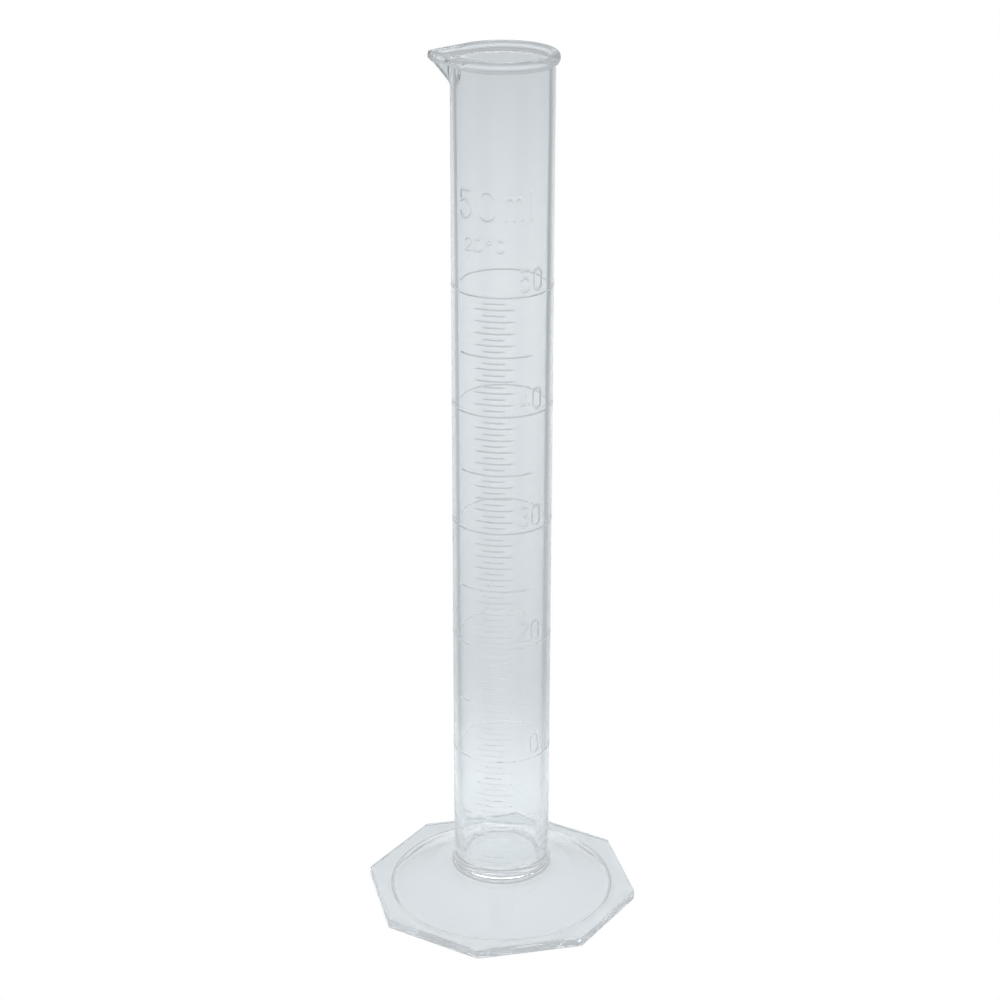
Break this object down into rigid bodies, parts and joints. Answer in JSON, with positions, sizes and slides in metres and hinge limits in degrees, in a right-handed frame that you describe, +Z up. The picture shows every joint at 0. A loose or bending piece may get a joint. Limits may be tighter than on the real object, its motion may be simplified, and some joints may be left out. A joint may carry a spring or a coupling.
{
  "type": "graduated measuring cylinder",
  "caption": "Tall clear plastic measuring cylinder with a raised ring scale, beaded rim, small pouring lip and wide octagonal foot.",
  "frame": {"origin": "on the tube's axis, in the plane that the foot stands on", "axes": "+Z up along the tube; the middle of the scale and one corner of the foot face -Y; the pouring lip points to -X"},
  "size_m": [0.069, 0.069, 0.217],
  "materials": {
    "clear_plastic": "clear, smooth and glossy, with a faint cool tint",
    "clear_cement": "clear and glossy, a little uneven"
  },
  "bodies": {
    "root": {"measuring_tube": "clear_plastic", "octagonal_foot": "clear_plastic", "cement_ring": "clear_cement"}
  },
  "joints": []
}
